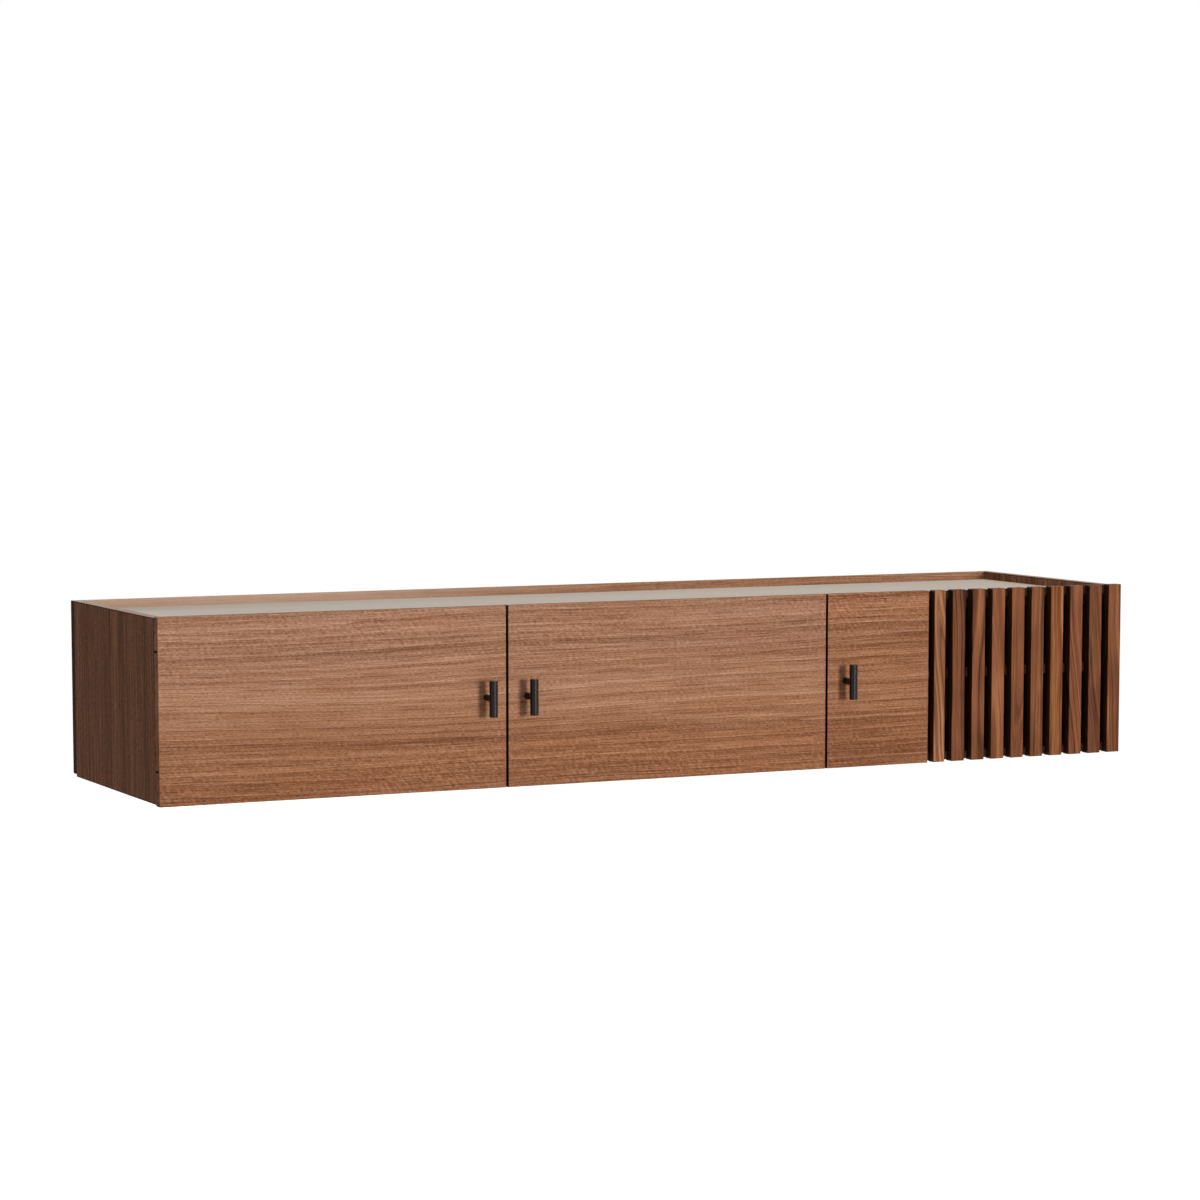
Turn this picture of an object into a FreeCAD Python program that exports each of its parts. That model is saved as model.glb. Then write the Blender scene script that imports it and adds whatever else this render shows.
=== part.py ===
import FreeCAD, Part
import math
import os

import Sketcher
from FreeCAD import Placement, Rotation, Vector

# Floating sideboard with a tray top, two plain doors and one slatted door.
# X runs along the width, Y from the door faces to the wall, and Z up.
# The origin is on the wall face, at the centre of the four wall screws.

doc = FreeCAD.newDocument("floating_sideboard")

# Driving sizes, in millimetres

SIZES = [
    ("cabinet_width", 1800),
    ("cabinet_depth", 450),
    ("cabinet_height", 300),
    ("side_thickness", 18),
    ("partition_thickness", 18),
    ("deck_thickness", 18),
    ("floor_thickness", 18),
    ("back_thickness", 18),
    ("door_thickness", 18),
    ("shelf_thickness", 16),
    ("gallery_rise", 14),
    ("back_raise", 4),
    ("edge_ease", 0.5),
    ("door_overhang", 2),
    ("door_gap", 3),
    ("door_rest_gap", 2),
    ("leaf_width", 200.5),
    ("leaf_gap", 12.1),
    ("slat_width", 25.5),
    ("first_slat_width", 21.8),
    ("slat_count", 10),
    ("rail_height", 14),
    ("rail_thickness", 5),
    ("rail_end_inset", 2),
    ("rail_lap", 30),
    ("rail_setback", 11),
    ("rail_fit", 0.1),
    ("handle_inset", 35),
    ("handle_reach", 28),
    ("handle_bar_radius", 7),
    ("handle_bar_length", 60),
    ("handle_bar_bevel", 0.7),
    ("handle_stem_radius", 5.75),
    ("handle_spigot_radius", 3),
    ("handle_spigot_depth", 5),
    ("handle_screw_radius", 2),
    ("handle_screw_grip", 12),
    ("handle_screw_head_radius", 4),
    ("handle_screw_head_depth", 1.6),
    ("hinge_pin_inset", 6.5),
    ("hinge_pin_setback", 6),
    ("hinge_pin_radius", 1.5),
    ("hinge_pin_tail", 12),
    ("hinge_pin_recess", 1),
    ("hinge_end_inset", 55),
    ("hinge_skin", 2),
    ("hinge_swing_slack", 0.5),
    ("hinge_lift_slack", 0.3),
    ("hinge_bore_slack", 0.05),
    ("lug_width", 6),
    ("lug_thickness", 3),
    ("hinge_plate_height", 36),
    ("hinge_plate_width", 14),
    ("hinge_plate_thickness", 2),
    ("hinge_plate_margin", 0.2),
    ("hinge_screw_pitch", 22),
    ("hinge_screw_length", 20),
    ("shelf_setback", 30),
    ("shelf_side_slack", 0.5),
    ("shelf_back_slack", 4),
    ("shelf_pin_radius", 2.5),
    ("shelf_pin_seat", 8),
    ("shelf_pin_reach", 8),
    ("shelf_pin_inset", 40),
    ("shelf_hole_pitch", 32),
    ("wall_hole_radius", 4.5),
    ("wall_hole_span", 1219.2),
    ("wall_screw_inset", 36),
    ("wall_plate_width", 64),
    ("wall_plate_height", 40),
    ("wall_plate_thickness", 3),
    ("wall_plate_screw_pitch", 46),
    ("catch_width", 40),
    ("catch_depth", 14),
    ("catch_height", 12),
    ("catch_inset", 60),
    ("strike_width", 34),
    ("strike_thickness", 1.5),
    ("bumper_radius", 3),
    ("bumper_thickness", 1.7),
    ("bumper_inset", 4.5),
    ("bumper_end_inset", 90),
    ("cam_radius", 7.5),
    ("cam_depth", 13),
    ("cam_slot_length", 9),
    ("cam_slot_width", 1.6),
    ("cam_inset", 34),
    ("cam_bolt_radius", 3),
    ("cam_bolt_seat", 10),
    ("dowel_radius", 4),
    ("dowel_length", 28),
    ("joint_inset", 55),
    ("screw_radius", 1.75),
    ("screw_head_radius", 3.5),
    ("back_screw_length", 45),
    ("plate_screw_length", 15),
    ("slat_screw_radius", 1.3),
    ("slat_screw_head_radius", 2.4),
    ("slat_screw_length", 14),
    ("slat_screw_inset", 9),
    ("fastener_fit", 0.05),
]

sizes = doc.addObject("Spreadsheet::Sheet", "Sizes")
for row, (alias, number) in enumerate(SIZES, start=1):
    sizes.set("A%d" % row, alias)
    sizes.set("B%d" % row, str(number))
    sizes.setAlias("B%d" % row, alias)
doc.recompute()

# Places that follow from the sizes, each worked out once

PLACES = [
    ("half_width", "Sizes.cabinet_width / 2"),
    ("door_face", "-Sizes.cabinet_depth"),
    ("door_back", "door_face + Sizes.door_thickness"),
    ("carcass_front", "door_back + Sizes.door_rest_gap"),
    ("back_front", "-Sizes.back_thickness"),
    ("carcass_depth", "back_front - carcass_front"),
    ("door_bottom", "-Sizes.cabinet_height / 2"),
    ("door_top", "Sizes.cabinet_height / 2"),
    ("carcass_bottom", "door_bottom + Sizes.door_overhang"),
    ("carcass_top", "door_top - Sizes.door_overhang"),
    ("carcass_height", "carcass_top - carcass_bottom"),
    ("deck_top", "carcass_top - Sizes.gallery_rise"),
    ("deck_under", "deck_top - Sizes.deck_thickness"),
    ("deck_middle", "deck_top - Sizes.deck_thickness / 2"),
    ("floor_top", "carcass_bottom + Sizes.floor_thickness"),
    ("floor_middle", "carcass_bottom + Sizes.floor_thickness / 2"),
    ("inner_half", "half_width - Sizes.side_thickness"),
    ("side_middle", "half_width - Sizes.side_thickness / 2"),
    ("door_width", "(Sizes.cabinet_width - 2 * Sizes.door_gap) / 3"),
    ("partition_centre", "(door_width + Sizes.door_gap) / 2"),
    ("partition_outer", "partition_centre + Sizes.partition_thickness / 2"),
    ("partition_inner", "partition_centre - Sizes.partition_thickness / 2"),
    ("middle_half", "door_width / 2"),
    ("outer_door_edge", "half_width - door_width"),
    ("leaf_right", "outer_door_edge + Sizes.leaf_width"),
    ("first_slat_right", "leaf_right + Sizes.leaf_gap + Sizes.first_slat_width"),
    ("slat_pitch", "(half_width - first_slat_right) / (Sizes.slat_count - 1)"),
    ("rail_left", "leaf_right - Sizes.rail_lap"),
    ("rail_length", "half_width - Sizes.rail_setback - rail_left"),
    ("lower_rail", "door_bottom + Sizes.rail_end_inset"),
    ("upper_rail", "door_top - Sizes.rail_end_inset - Sizes.rail_height"),
    ("shelf_front", "carcass_front + Sizes.shelf_setback"),
    ("shelf_back", "back_front - Sizes.shelf_back_slack"),
    ("shelf_under", "-Sizes.shelf_thickness / 2"),
    ("shelf_pin_z", "shelf_under - Sizes.shelf_pin_radius"),
    ("hinge_y", "door_face + Sizes.hinge_pin_setback"),
    ("hinge_z", "door_top - Sizes.hinge_end_inset"),
    ("slot_reach", "Sizes.hinge_pin_inset + Sizes.lug_width / 2 + Sizes.hinge_swing_slack"),
    ("slot_height", "Sizes.lug_thickness + 2 * Sizes.hinge_lift_slack"),
    ("handle_y", "door_face - Sizes.handle_reach"),
    ("wall_screw_z", "deck_under - Sizes.wall_screw_inset"),
    ("bumper_z", "door_top - Sizes.bumper_end_inset"),
    ("strike_height", "Sizes.catch_height - 2"),
    ("joint_front", "carcass_front + Sizes.joint_inset"),
    ("joint_back", "back_front - Sizes.joint_inset"),
]

places = doc.addObject("App::VarSet", "Places")
for name, formula in PLACES:
    places.addProperty("App::PropertyFloat", name)
for name, formula in PLACES:
    places.setExpression(name, formula)
doc.recompute()


def size(name):
    return float(sizes.get(name))


def at(name):
    return float(getattr(places, name))


# Ways of making that several pieces share


def bind_corner(item, corner):
    for axis, formula in zip("xyz", corner):
        item.setExpression("Placement.Base." + axis, formula)


def block(name, extent, corner):
    """A plain rectangular solid, set out from its lowest corner."""
    item = doc.addObject("Part::Box", name)
    for prop, formula in zip(("Length", "Width", "Height"), extent):
        item.setExpression(prop, formula)
    bind_corner(item, corner)
    return item


TURNS = {
    "+X": Rotation(Vector(0, 1, 0), 90),
    "-X": Rotation(Vector(0, 1, 0), -90),
    "+Y": Rotation(Vector(1, 0, 0), -90),
    "-Y": Rotation(Vector(1, 0, 0), 90),
    "+Z": Rotation(),
    "-Z": Rotation(Vector(1, 0, 0), 180),
}


def rod(name, radius, length, start, heading):
    """A round solid that starts at a point and runs along an axis."""
    item = doc.addObject("Part::Cylinder", name)
    item.setExpression("Radius", radius)
    item.setExpression("Height", length)
    item.Placement = Placement(Vector(), TURNS[heading])
    bind_corner(item, start)
    return item


def fuse(name, items):
    item = doc.addObject("Part::MultiFuse", name)
    item.Shapes = items
    return item


def cut(name, base, tools):
    item = doc.addObject("Part::Cut", name)
    item.Base = base
    item.Tool = tools[0] if len(tools) == 1 else fuse(name + "_tools", tools)
    return item


def origin_plane(body, role):
    return [plane for plane in body.Origin.OriginFeatures if plane.Role == role][0]


def board(name, extent, corner, ease="Sizes.edge_ease"):
    """A sawn board: a rectangle padded to its height, with every edge eased."""
    body = doc.addObject("PartDesign::Body", name)
    outline = body.newObject("Sketcher::SketchObject", name + "_outline")
    outline.AttachmentSupport = (origin_plane(body, "XY_Plane"), [""])
    outline.MapMode = "FlatFace"
    corners = [Vector(0, 0, 0), Vector(10, 0, 0), Vector(10, 5, 0), Vector(0, 5, 0)]
    for line in range(4):
        outline.addGeometry(Part.LineSegment(corners[line], corners[(line + 1) % 4]), False)
    for line in range(4):
        outline.addConstraint(Sketcher.Constraint("Coincident", line, 2, (line + 1) % 4, 1))
    for line, lie in enumerate(("Horizontal", "Vertical", "Horizontal", "Vertical")):
        outline.addConstraint(Sketcher.Constraint(lie, line))
    outline.addConstraint(Sketcher.Constraint("Coincident", 0, 1, -1, 1))
    across = outline.addConstraint(Sketcher.Constraint("DistanceX", 0, 1, 0, 2, 10))
    along = outline.addConstraint(Sketcher.Constraint("DistanceY", 1, 1, 1, 2, 5))
    outline.setExpression("Constraints[%d]" % across, extent[0])
    outline.setExpression("Constraints[%d]" % along, extent[1])
    pad = body.newObject("PartDesign::Pad", name + "_pad")
    pad.Profile = outline
    pad.setExpression("Length", extent[2])
    doc.recompute()
    eased = body.newObject("PartDesign::Chamfer", name + "_eased")
    eased.Base = (pad, ["Edge%d" % (edge + 1) for edge in range(len(pad.Shape.Edges))])
    eased.setExpression("Size", ease)
    body.Tip = eased
    bind_corner(body, corner)
    return body


def placed_copies(shape, spots):
    """One solid for each spot, which is a point and the axis that it points along."""
    made = []
    for x, y, z, heading in spots:
        piece = shape.copy()
        piece.Placement = Placement(Vector(x, y, z), TURNS[heading])
        made.append(piece)
    return Part.makeCompound(made)


def copies(name, shape, spots):
    item = doc.addObject("Part::Feature", name)
    item.Shape = placed_copies(shape, spots)
    item.Placement = Placement()
    return item


def screw_shape(radius, head_radius, length, room=0.0):
    """A countersunk screw whose head face is at the origin, or the hole that it needs."""
    head_depth = head_radius - radius
    head = Part.makeCone(head_radius + room, radius + room, head_depth)
    shank = Part.makeCylinder(radius + room, length - head_depth, Vector(0, 0, head_depth))
    return head.fuse(shank).removeSplitter()


nodes = []


def keep(item, name):
    """Call the finished piece by its name, which its file takes too."""
    item.Label = name
    nodes.append(item)


fit = size("fastener_fit")

# Screws that hold the back board to the sides, partitions, deck and floor

back_screw_spots = []
for x in (-at("side_middle"), -at("partition_centre"), at("partition_centre"), at("side_middle")):
    for z in (-at("wall_screw_z") * 2 / 3, at("wall_screw_z") * 2 / 3):
        back_screw_spots.append((x, 0, z, "-Y"))
for x in (-at("door_width"), 0, at("door_width")):
    for z in (at("floor_middle"), at("deck_middle")):
        back_screw_spots.append((x, 0, z, "-Y"))
wood_screw = (size("screw_radius"), size("screw_head_radius"))
back_screw = screw_shape(*wood_screw, size("back_screw_length"))
keep(copies("back_screws", back_screw, back_screw_spots), "back_screws")
back_screw_hole = screw_shape(*wood_screw, size("back_screw_length") + fit, fit)
back_screw_holes = copies("back_screw_holes", back_screw_hole, back_screw_spots)

# Dowels that locate the partitions between the floor and the deck

dowel_spots = []
for x in (-at("partition_centre"), at("partition_centre")):
    for y in (at("joint_front"), at("joint_back")):
        for z in (at("floor_top"), at("deck_under")):
            dowel_spots.append((x, y, z - size("dowel_length") / 2, "+Z"))
dowel = Part.makeCylinder(size("dowel_radius"), size("dowel_length"))
keep(copies("dowels", dowel, dowel_spots), "dowels")
dowel_hole_length = size("dowel_length") + 2 * fit
dowel_hole = Part.makeCylinder(size("dowel_radius") + fit, dowel_hole_length, Vector(0, 0, -fit))
dowel_holes = copies("dowel_holes", dowel_hole, dowel_spots)

# Cam locks and their bolts, which pull the sides onto the deck and the floor

cam_spots = []
cam_bolt_spots = []
cam_x = at("inner_half") - size("cam_inset")
for y in (at("joint_front"), at("joint_back")):
    for cam_face, heading, bolt_z in (
        (at("deck_under"), "+Z", at("deck_middle")),
        (at("floor_top"), "-Z", at("floor_middle")),
    ):
        for hand, bolt_heading in ((-1, "-X"), (1, "+X")):
            cam_spots.append((hand * cam_x, y, cam_face, heading))
            bolt_start = hand * (cam_x + size("cam_radius") + fit)
            cam_bolt_spots.append((bolt_start, y, bolt_z, bolt_heading))
cam = Part.makeCylinder(size("cam_radius"), size("cam_depth"))
driver_slot = Part.makeBox(
    size("cam_slot_length"),
    size("cam_slot_width"),
    size("cam_slot_width"),
    Vector(-size("cam_slot_length") / 2, -size("cam_slot_width") / 2, 0),
)
cam = cam.cut(driver_slot)
keep(copies("cam_locks", cam, cam_spots), "cam_locks")
cam_hole = Part.makeCylinder(size("cam_radius") + fit, size("cam_depth") + fit)
cam_holes = copies("cam_holes", cam_hole, cam_spots)
cam_bolt_length = size("cam_inset") - size("cam_radius") - fit + size("cam_bolt_seat")
cam_bolt = Part.makeCylinder(size("cam_bolt_radius"), cam_bolt_length)
keep(copies("cam_bolts", cam_bolt, cam_bolt_spots), "cam_bolts")
cam_bolt_hole_length = size("cam_radius") + cam_bolt_length + fit
cam_bolt_hole = Part.makeCylinder(
    size("cam_bolt_radius") + fit, cam_bolt_hole_length, Vector(0, 0, -size("cam_radius"))
)
cam_bolt_holes = copies("cam_bolt_holes", cam_bolt_hole, cam_bolt_spots)

# Shelf pins, in the middle holes of rows drilled for other shelf heights

pin_rows = []
for face, heading in (
    (-at("inner_half"), "+X"),
    (-at("partition_outer"), "-X"),
    (-at("partition_inner"), "+X"),
    (at("partition_inner"), "-X"),
    (at("partition_outer"), "+X"),
    (at("inner_half"), "-X"),
):
    inward = 1 if heading == "+X" else -1
    for y in (
        at("shelf_front") + size("shelf_pin_inset"),
        at("shelf_back") - size("shelf_pin_inset"),
    ):
        pin_rows.append((face - inward * size("shelf_pin_seat"), y, at("shelf_pin_z"), heading))
shelf_pin = Part.makeCylinder(
    size("shelf_pin_radius"), size("shelf_pin_seat") + size("shelf_pin_reach")
)
keep(copies("shelf_pins", shelf_pin, pin_rows), "shelf_pins")
pin_hole_spots = []
for x, y, z, heading in pin_rows:
    for step in (-1, 0, 1):
        pin_hole_spots.append((x, y, z + step * size("shelf_hole_pitch"), heading))
pin_hole = Part.makeCylinder(
    size("shelf_pin_radius") + fit, size("shelf_pin_seat") + size("shelf_pin_reach")
)
shelf_pin_holes = copies("shelf_pin_holes", pin_hole, pin_hole_spots)

# Door hinges. A plate is let into the front edge of an upright. Its lug
# reaches forward into a slot in the door, and a long pin driven in from the
# end of the door passes through it.

hinge_screw_hole = screw_shape(*wood_screw, size("hinge_screw_length") + fit, fit)
hinge_screw_spots = []


def hinge_plates(name, pin_x, plate_x):
    """The upper and lower plates of one door, and the recesses that they sit in."""
    recesses = []
    for level, hand in (("upper", 1), ("lower", -1)):
        label = "hinge_%s_%s" % (name, level)
        height = "%d * Places.hinge_z" % hand
        plate = block(
            label + "_plate",
            ("Sizes.hinge_plate_width", "Sizes.hinge_plate_thickness", "Sizes.hinge_plate_height"),
            (plate_x, "Places.carcass_front", height + " - Sizes.hinge_plate_height / 2"),
        )
        lug = block(
            label + "_lug",
            ("Sizes.lug_width", "Places.carcass_front - Places.hinge_y", "Sizes.lug_thickness"),
            (pin_x + " - Sizes.lug_width / 2", "Places.hinge_y", height + " - Sizes.lug_thickness / 2"),
        )
        nose = rod(
            label + "_nose",
            "Sizes.lug_width / 2",
            "Sizes.lug_thickness",
            (pin_x, "Places.hinge_y", height + " - Sizes.lug_thickness / 2"),
            "+Z",
        )
        bore = rod(
            label + "_bore",
            "Sizes.hinge_pin_radius + Sizes.hinge_bore_slack",
            "Sizes.lug_thickness + 2",
            (pin_x, "Places.hinge_y", height + " - Sizes.lug_thickness / 2 - 1"),
            "+Z",
        )
        doc.recompute()
        plate_middle = float(plate.Placement.Base.x) + size("hinge_plate_width") / 2
        spots = []
        for step in (-0.5, 0.5):
            z = hand * at("hinge_z") + step * size("hinge_screw_pitch")
            spots.append((plate_middle, at("carcass_front"), z, "+Y"))
        hinge_screw_spots.extend(spots)
        screw_holes = copies(label + "_screw_holes", hinge_screw_hole, spots)
        whole = fuse(label + "_whole", [plate, lug, nose])
        keep(cut(label, whole, [bore, screw_holes]), label)
        recess = block(
            label + "_recess",
            (
                "Sizes.hinge_plate_width + 2 * Sizes.fastener_fit",
                "Sizes.hinge_plate_thickness + Sizes.fastener_fit + 1",
                "Sizes.hinge_plate_height + 2 * Sizes.fastener_fit",
            ),
            (
                plate_x + " - Sizes.fastener_fit",
                "Places.carcass_front - 1",
                height + " - Sizes.hinge_plate_height / 2 - Sizes.fastener_fit",
            ),
        )
        recesses.extend([recess, screw_holes])
    return recesses


def hinge_slots(name, pin_x, slot_x):
    """The slots and pin holes of one door, with the pins kept as its own node."""
    tools = []
    spots = []
    reach = at("hinge_z") - size("lug_thickness") / 2 - size("hinge_pin_tail")
    length = at("door_top") - size("hinge_pin_recess") - reach
    for level, hand, heading in (("upper", 1, "-Z"), ("lower", -1, "+Z")):
        tools.append(
            block(
                "%s_%s_slot" % (name, level),
                (
                    "Places.slot_reach + 1",
                    "Sizes.door_thickness - Sizes.hinge_skin + 1",
                    "Places.slot_height",
                ),
                (
                    slot_x,
                    "Places.door_face + Sizes.hinge_skin",
                    "%d * Places.hinge_z - Places.slot_height / 2" % hand,
                ),
            )
        )
        start = hand * (at("door_top") - size("hinge_pin_recess"))
        spots.append((pin_x, at("hinge_y"), start, heading))
    pin = Part.makeCylinder(size("hinge_pin_radius"), length)
    keep(copies("hinge_pins_" + name, pin, spots), "hinge_pins_" + name)
    mouth = size("hinge_pin_recess") + 1
    pin_hole = Part.makeCylinder(
        size("hinge_pin_radius") + fit, mouth + length + fit, Vector(0, 0, -mouth)
    )
    tools.append(copies(name + "_pin_holes", pin_hole, spots))
    return tools


left_pin = "-Places.half_width + Sizes.hinge_pin_inset"
middle_pin = "Places.middle_half - Sizes.hinge_pin_inset"
right_pin = "Places.half_width - Sizes.hinge_pin_inset"
left_recesses = hinge_plates(
    "left", left_pin, "-Places.side_middle - Sizes.hinge_plate_width / 2"
)
middle_recesses = hinge_plates(
    "middle", middle_pin, "Places.partition_inner + Sizes.hinge_plate_margin"
)
right_recesses = hinge_plates(
    "right", right_pin, "Places.side_middle - Sizes.hinge_plate_width / 2"
)
hinge_screw = screw_shape(*wood_screw, size("hinge_screw_length"))
keep(copies("hinge_screws", hinge_screw, hinge_screw_spots), "hinge_screws")

# Carcass: two sides, a recessed deck, a floor, two partitions and a back
# board that covers the rear ends of the sides and stands up as the rear lip.

upright = ("Places.carcass_front", "Places.carcass_bottom")
for name, corner_x, recesses in (
    ("side_panel_left", "-Places.half_width", left_recesses),
    ("side_panel_right", "Places.inner_half", right_recesses),
):
    blank = board(
        name + "_blank",
        ("Sizes.side_thickness", "Places.carcass_depth", "Places.carcass_height"),
        (corner_x, *upright),
    )
    tools = recesses + [back_screw_holes, cam_bolt_holes, shelf_pin_holes]
    keep(cut(name, blank, tools), name)

for name, corner_z, thickness in (
    ("top_panel", "Places.deck_under", "Sizes.deck_thickness"),
    ("bottom_panel", "Places.carcass_bottom", "Sizes.floor_thickness"),
):
    blank = board(
        name + "_blank",
        ("2 * Places.inner_half", "Places.carcass_depth", thickness),
        ("-Places.inner_half", "Places.carcass_front", corner_z),
    )
    tools = [back_screw_holes, dowel_holes, cam_holes, cam_bolt_holes]
    keep(cut(name, blank, tools), name)

for name, corner_x, recesses in (
    ("partition_left", "-Places.partition_outer", []),
    ("partition_right", "Places.partition_inner", middle_recesses),
):
    blank = board(
        name + "_blank",
        (
            "Sizes.partition_thickness",
            "Places.carcass_depth",
            "Places.deck_under - Places.floor_top",
        ),
        (corner_x, "Places.carcass_front", "Places.floor_top"),
    )
    tools = recesses + [back_screw_holes, dowel_holes, shelf_pin_holes]
    keep(cut(name, blank, tools), name)

wall_spots = []
for x in (-size("wall_hole_span") / 2, size("wall_hole_span") / 2):
    for z in (-at("wall_screw_z"), at("wall_screw_z")):
        wall_spots.append((x, z))

plate_screw_spots = []
for x, z in wall_spots:
    for step in (-0.5, 0.5):
        screw_x = x + step * size("wall_plate_screw_pitch")
        screw_y = at("back_front") - size("wall_plate_thickness")
        plate_screw_spots.append((screw_x, screw_y, z, "+Y"))
plate_screw = screw_shape(*wood_screw, size("plate_screw_length"))
keep(copies("wall_plate_screws", plate_screw, plate_screw_spots), "wall_plate_screws")
plate_screw_hole = screw_shape(*wood_screw, size("plate_screw_length") + fit, fit)
plate_screw_holes = copies("plate_screw_holes", plate_screw_hole, plate_screw_spots)

bolt_room = size("back_thickness") + size("wall_plate_thickness") + 2
wall_hole = Part.makeCylinder(size("wall_hole_radius"), bolt_room)
wall_holes = copies("wall_holes", wall_hole, [(x, 1, z, "-Y") for x, z in wall_spots])

back_blank = board(
    "back_board_blank",
    (
        "Sizes.cabinet_width",
        "Sizes.back_thickness",
        "Places.carcass_height - Sizes.back_raise",
    ),
    ("-Places.half_width", "Places.back_front", "Places.carcass_bottom + Sizes.back_raise"),
)
keep(cut("back_board", back_blank, [wall_holes, back_screw_holes, plate_screw_holes]), "back_board")

# Steel plates that spread the load of the wall screws inside the cabinet

plate_blanks = []
for number, (x, z) in enumerate(wall_spots):
    plate_blanks.append(
        block(
            "wall_plate_%d" % number,
            ("Sizes.wall_plate_width", "Sizes.wall_plate_thickness", "Sizes.wall_plate_height"),
            (
                "%d * Sizes.wall_hole_span / 2 - Sizes.wall_plate_width / 2" % math.copysign(1, x),
                "Places.back_front - Sizes.wall_plate_thickness",
                "%d * Places.wall_screw_z - Sizes.wall_plate_height / 2" % math.copysign(1, z),
            ),
        )
    )
plates = fuse("wall_plate_blanks", plate_blanks)
keep(cut("wall_plates", plates, [wall_holes, plate_screw_holes]), "wall_plates")

# Shelves, one in each compartment, resting on four pins

shelf_length = "Places.shelf_back - Places.shelf_front"
for name, corner_x, width in (
    ("shelf_left", "-Places.inner_half", "Places.inner_half - Places.partition_outer"),
    ("shelf_middle", "-Places.partition_inner", "2 * Places.partition_inner"),
    ("shelf_right", "Places.partition_outer", "Places.inner_half - Places.partition_outer"),
):
    shelf = board(
        name,
        (width + " - 2 * Sizes.shelf_side_slack", shelf_length, "Sizes.shelf_thickness"),
        (corner_x + " + Sizes.shelf_side_slack", "Places.shelf_front", "Places.shelf_under"),
    )
    keep(shelf, name)

# Handles: a round bar across a short stem, held by a screw from inside the door


def handle(name, centre_x):
    """The bar, the stem and the screw of one handle."""
    bar_bottom = "-Sizes.handle_bar_length / 2"
    core = rod(
        name + "_bar_core",
        "Sizes.handle_bar_radius",
        "Sizes.handle_bar_length - 2 * Sizes.handle_bar_bevel",
        (centre_x, "Places.handle_y", bar_bottom + " + Sizes.handle_bar_bevel"),
        "+Z",
    )
    ends = []
    for level, height, heading in (
        ("top", "Sizes.handle_bar_length / 2 - Sizes.handle_bar_bevel", "+Z"),
        ("foot", "-Sizes.handle_bar_length / 2 + Sizes.handle_bar_bevel", "-Z"),
    ):
        end = doc.addObject("Part::Cone", "%s_bar_%s" % (name, level))
        end.setExpression("Radius1", "Sizes.handle_bar_radius")
        end.setExpression("Radius2", "Sizes.handle_bar_radius - Sizes.handle_bar_bevel")
        end.setExpression("Height", "Sizes.handle_bar_bevel")
        end.Placement = Placement(Vector(), TURNS[heading])
        bind_corner(end, (centre_x, "Places.handle_y", height))
        ends.append(end)
    socket = rod(
        name + "_bar_socket",
        "Sizes.handle_spigot_radius + Sizes.fastener_fit",
        "Sizes.handle_bar_radius + Sizes.handle_spigot_depth",
        (centre_x, "Places.handle_y + 2 * Sizes.handle_bar_radius", "0"),
        "-Y",
    )
    bar = cut("handle_bar_" + name, fuse(name + "_bar_whole", [core] + ends), [socket])
    keep(bar, "handle_bar_" + name)

    stem = rod(
        name + "_stem_round",
        "Sizes.handle_stem_radius",
        "Sizes.handle_reach",
        (centre_x, "Places.door_face", "0"),
        "-Y",
    )
    mouth = rod(
        name + "_stem_mouth",
        "Sizes.handle_bar_radius + Sizes.fastener_fit",
        "Sizes.handle_bar_length",
        (centre_x, "Places.handle_y", bar_bottom),
        "+Z",
    )
    spigot = rod(
        name + "_stem_spigot",
        "Sizes.handle_spigot_radius",
        "Sizes.handle_bar_radius / 2 + Sizes.handle_spigot_depth",
        (centre_x, "Places.handle_y + 1.5 * Sizes.handle_bar_radius", "0"),
        "-Y",
    )
    thread = rod(
        name + "_stem_thread",
        "Sizes.handle_screw_radius + Sizes.fastener_fit",
        "Sizes.handle_screw_grip + 2",
        (centre_x, "Places.door_face + 1", "0"),
        "-Y",
    )
    saddled = cut(name + "_stem_saddled", stem, [mouth])
    joined = fuse(name + "_stem_joined", [saddled, spigot])
    keep(cut("handle_stem_" + name, joined, [thread]), "handle_stem_" + name)

    shank = rod(
        name + "_screw_shank",
        "Sizes.handle_screw_radius",
        "Sizes.door_thickness + Sizes.handle_screw_grip",
        (centre_x, "Places.door_back", "0"),
        "-Y",
    )
    head = rod(
        name + "_screw_head",
        "Sizes.handle_screw_head_radius",
        "Sizes.handle_screw_head_depth",
        (centre_x, "Places.door_back", "0"),
        "+Y",
    )
    keep(fuse("handle_screw_" + name, [shank, head]), "handle_screw_" + name)
    return rod(
        name + "_handle_hole",
        "Sizes.handle_screw_radius + Sizes.fastener_fit",
        "Sizes.door_thickness + 2",
        (centre_x, "Places.door_back + 1", "0"),
        "-Y",
    )


left_handle_hole = handle("left", "-Places.outer_door_edge - Sizes.handle_inset")
middle_handle_hole = handle("middle", "-Places.middle_half + Sizes.handle_inset")
right_handle_hole = handle("right", "Places.outer_door_edge + Sizes.handle_inset")

# The two plain doors

door_height = "Sizes.cabinet_height"
door_extent = ("Places.door_width", "Sizes.door_thickness", door_height)
left_slots = hinge_slots(
    "left",
    -at("half_width") + size("hinge_pin_inset"),
    "-Places.half_width - 1",
)
blank = board(
    "door_left_panel_blank",
    door_extent,
    ("-Places.half_width", "Places.door_face", "Places.door_bottom"),
)
keep(cut("door_left_panel", blank, left_slots + [left_handle_hole]), "door_left_panel")

middle_slots = hinge_slots(
    "middle",
    at("middle_half") - size("hinge_pin_inset"),
    "Places.middle_half - Places.slot_reach",
)
blank = board(
    "door_middle_panel_blank",
    door_extent,
    ("-Places.middle_half", "Places.door_face", "Places.door_bottom"),
)
keep(cut("door_middle_panel", blank, middle_slots + [middle_handle_hole]), "door_middle_panel")

# The slatted door: a flat leaf, and upright slats notched over two rails
# that are let into the back of the leaf and run across behind every slat.

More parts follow.
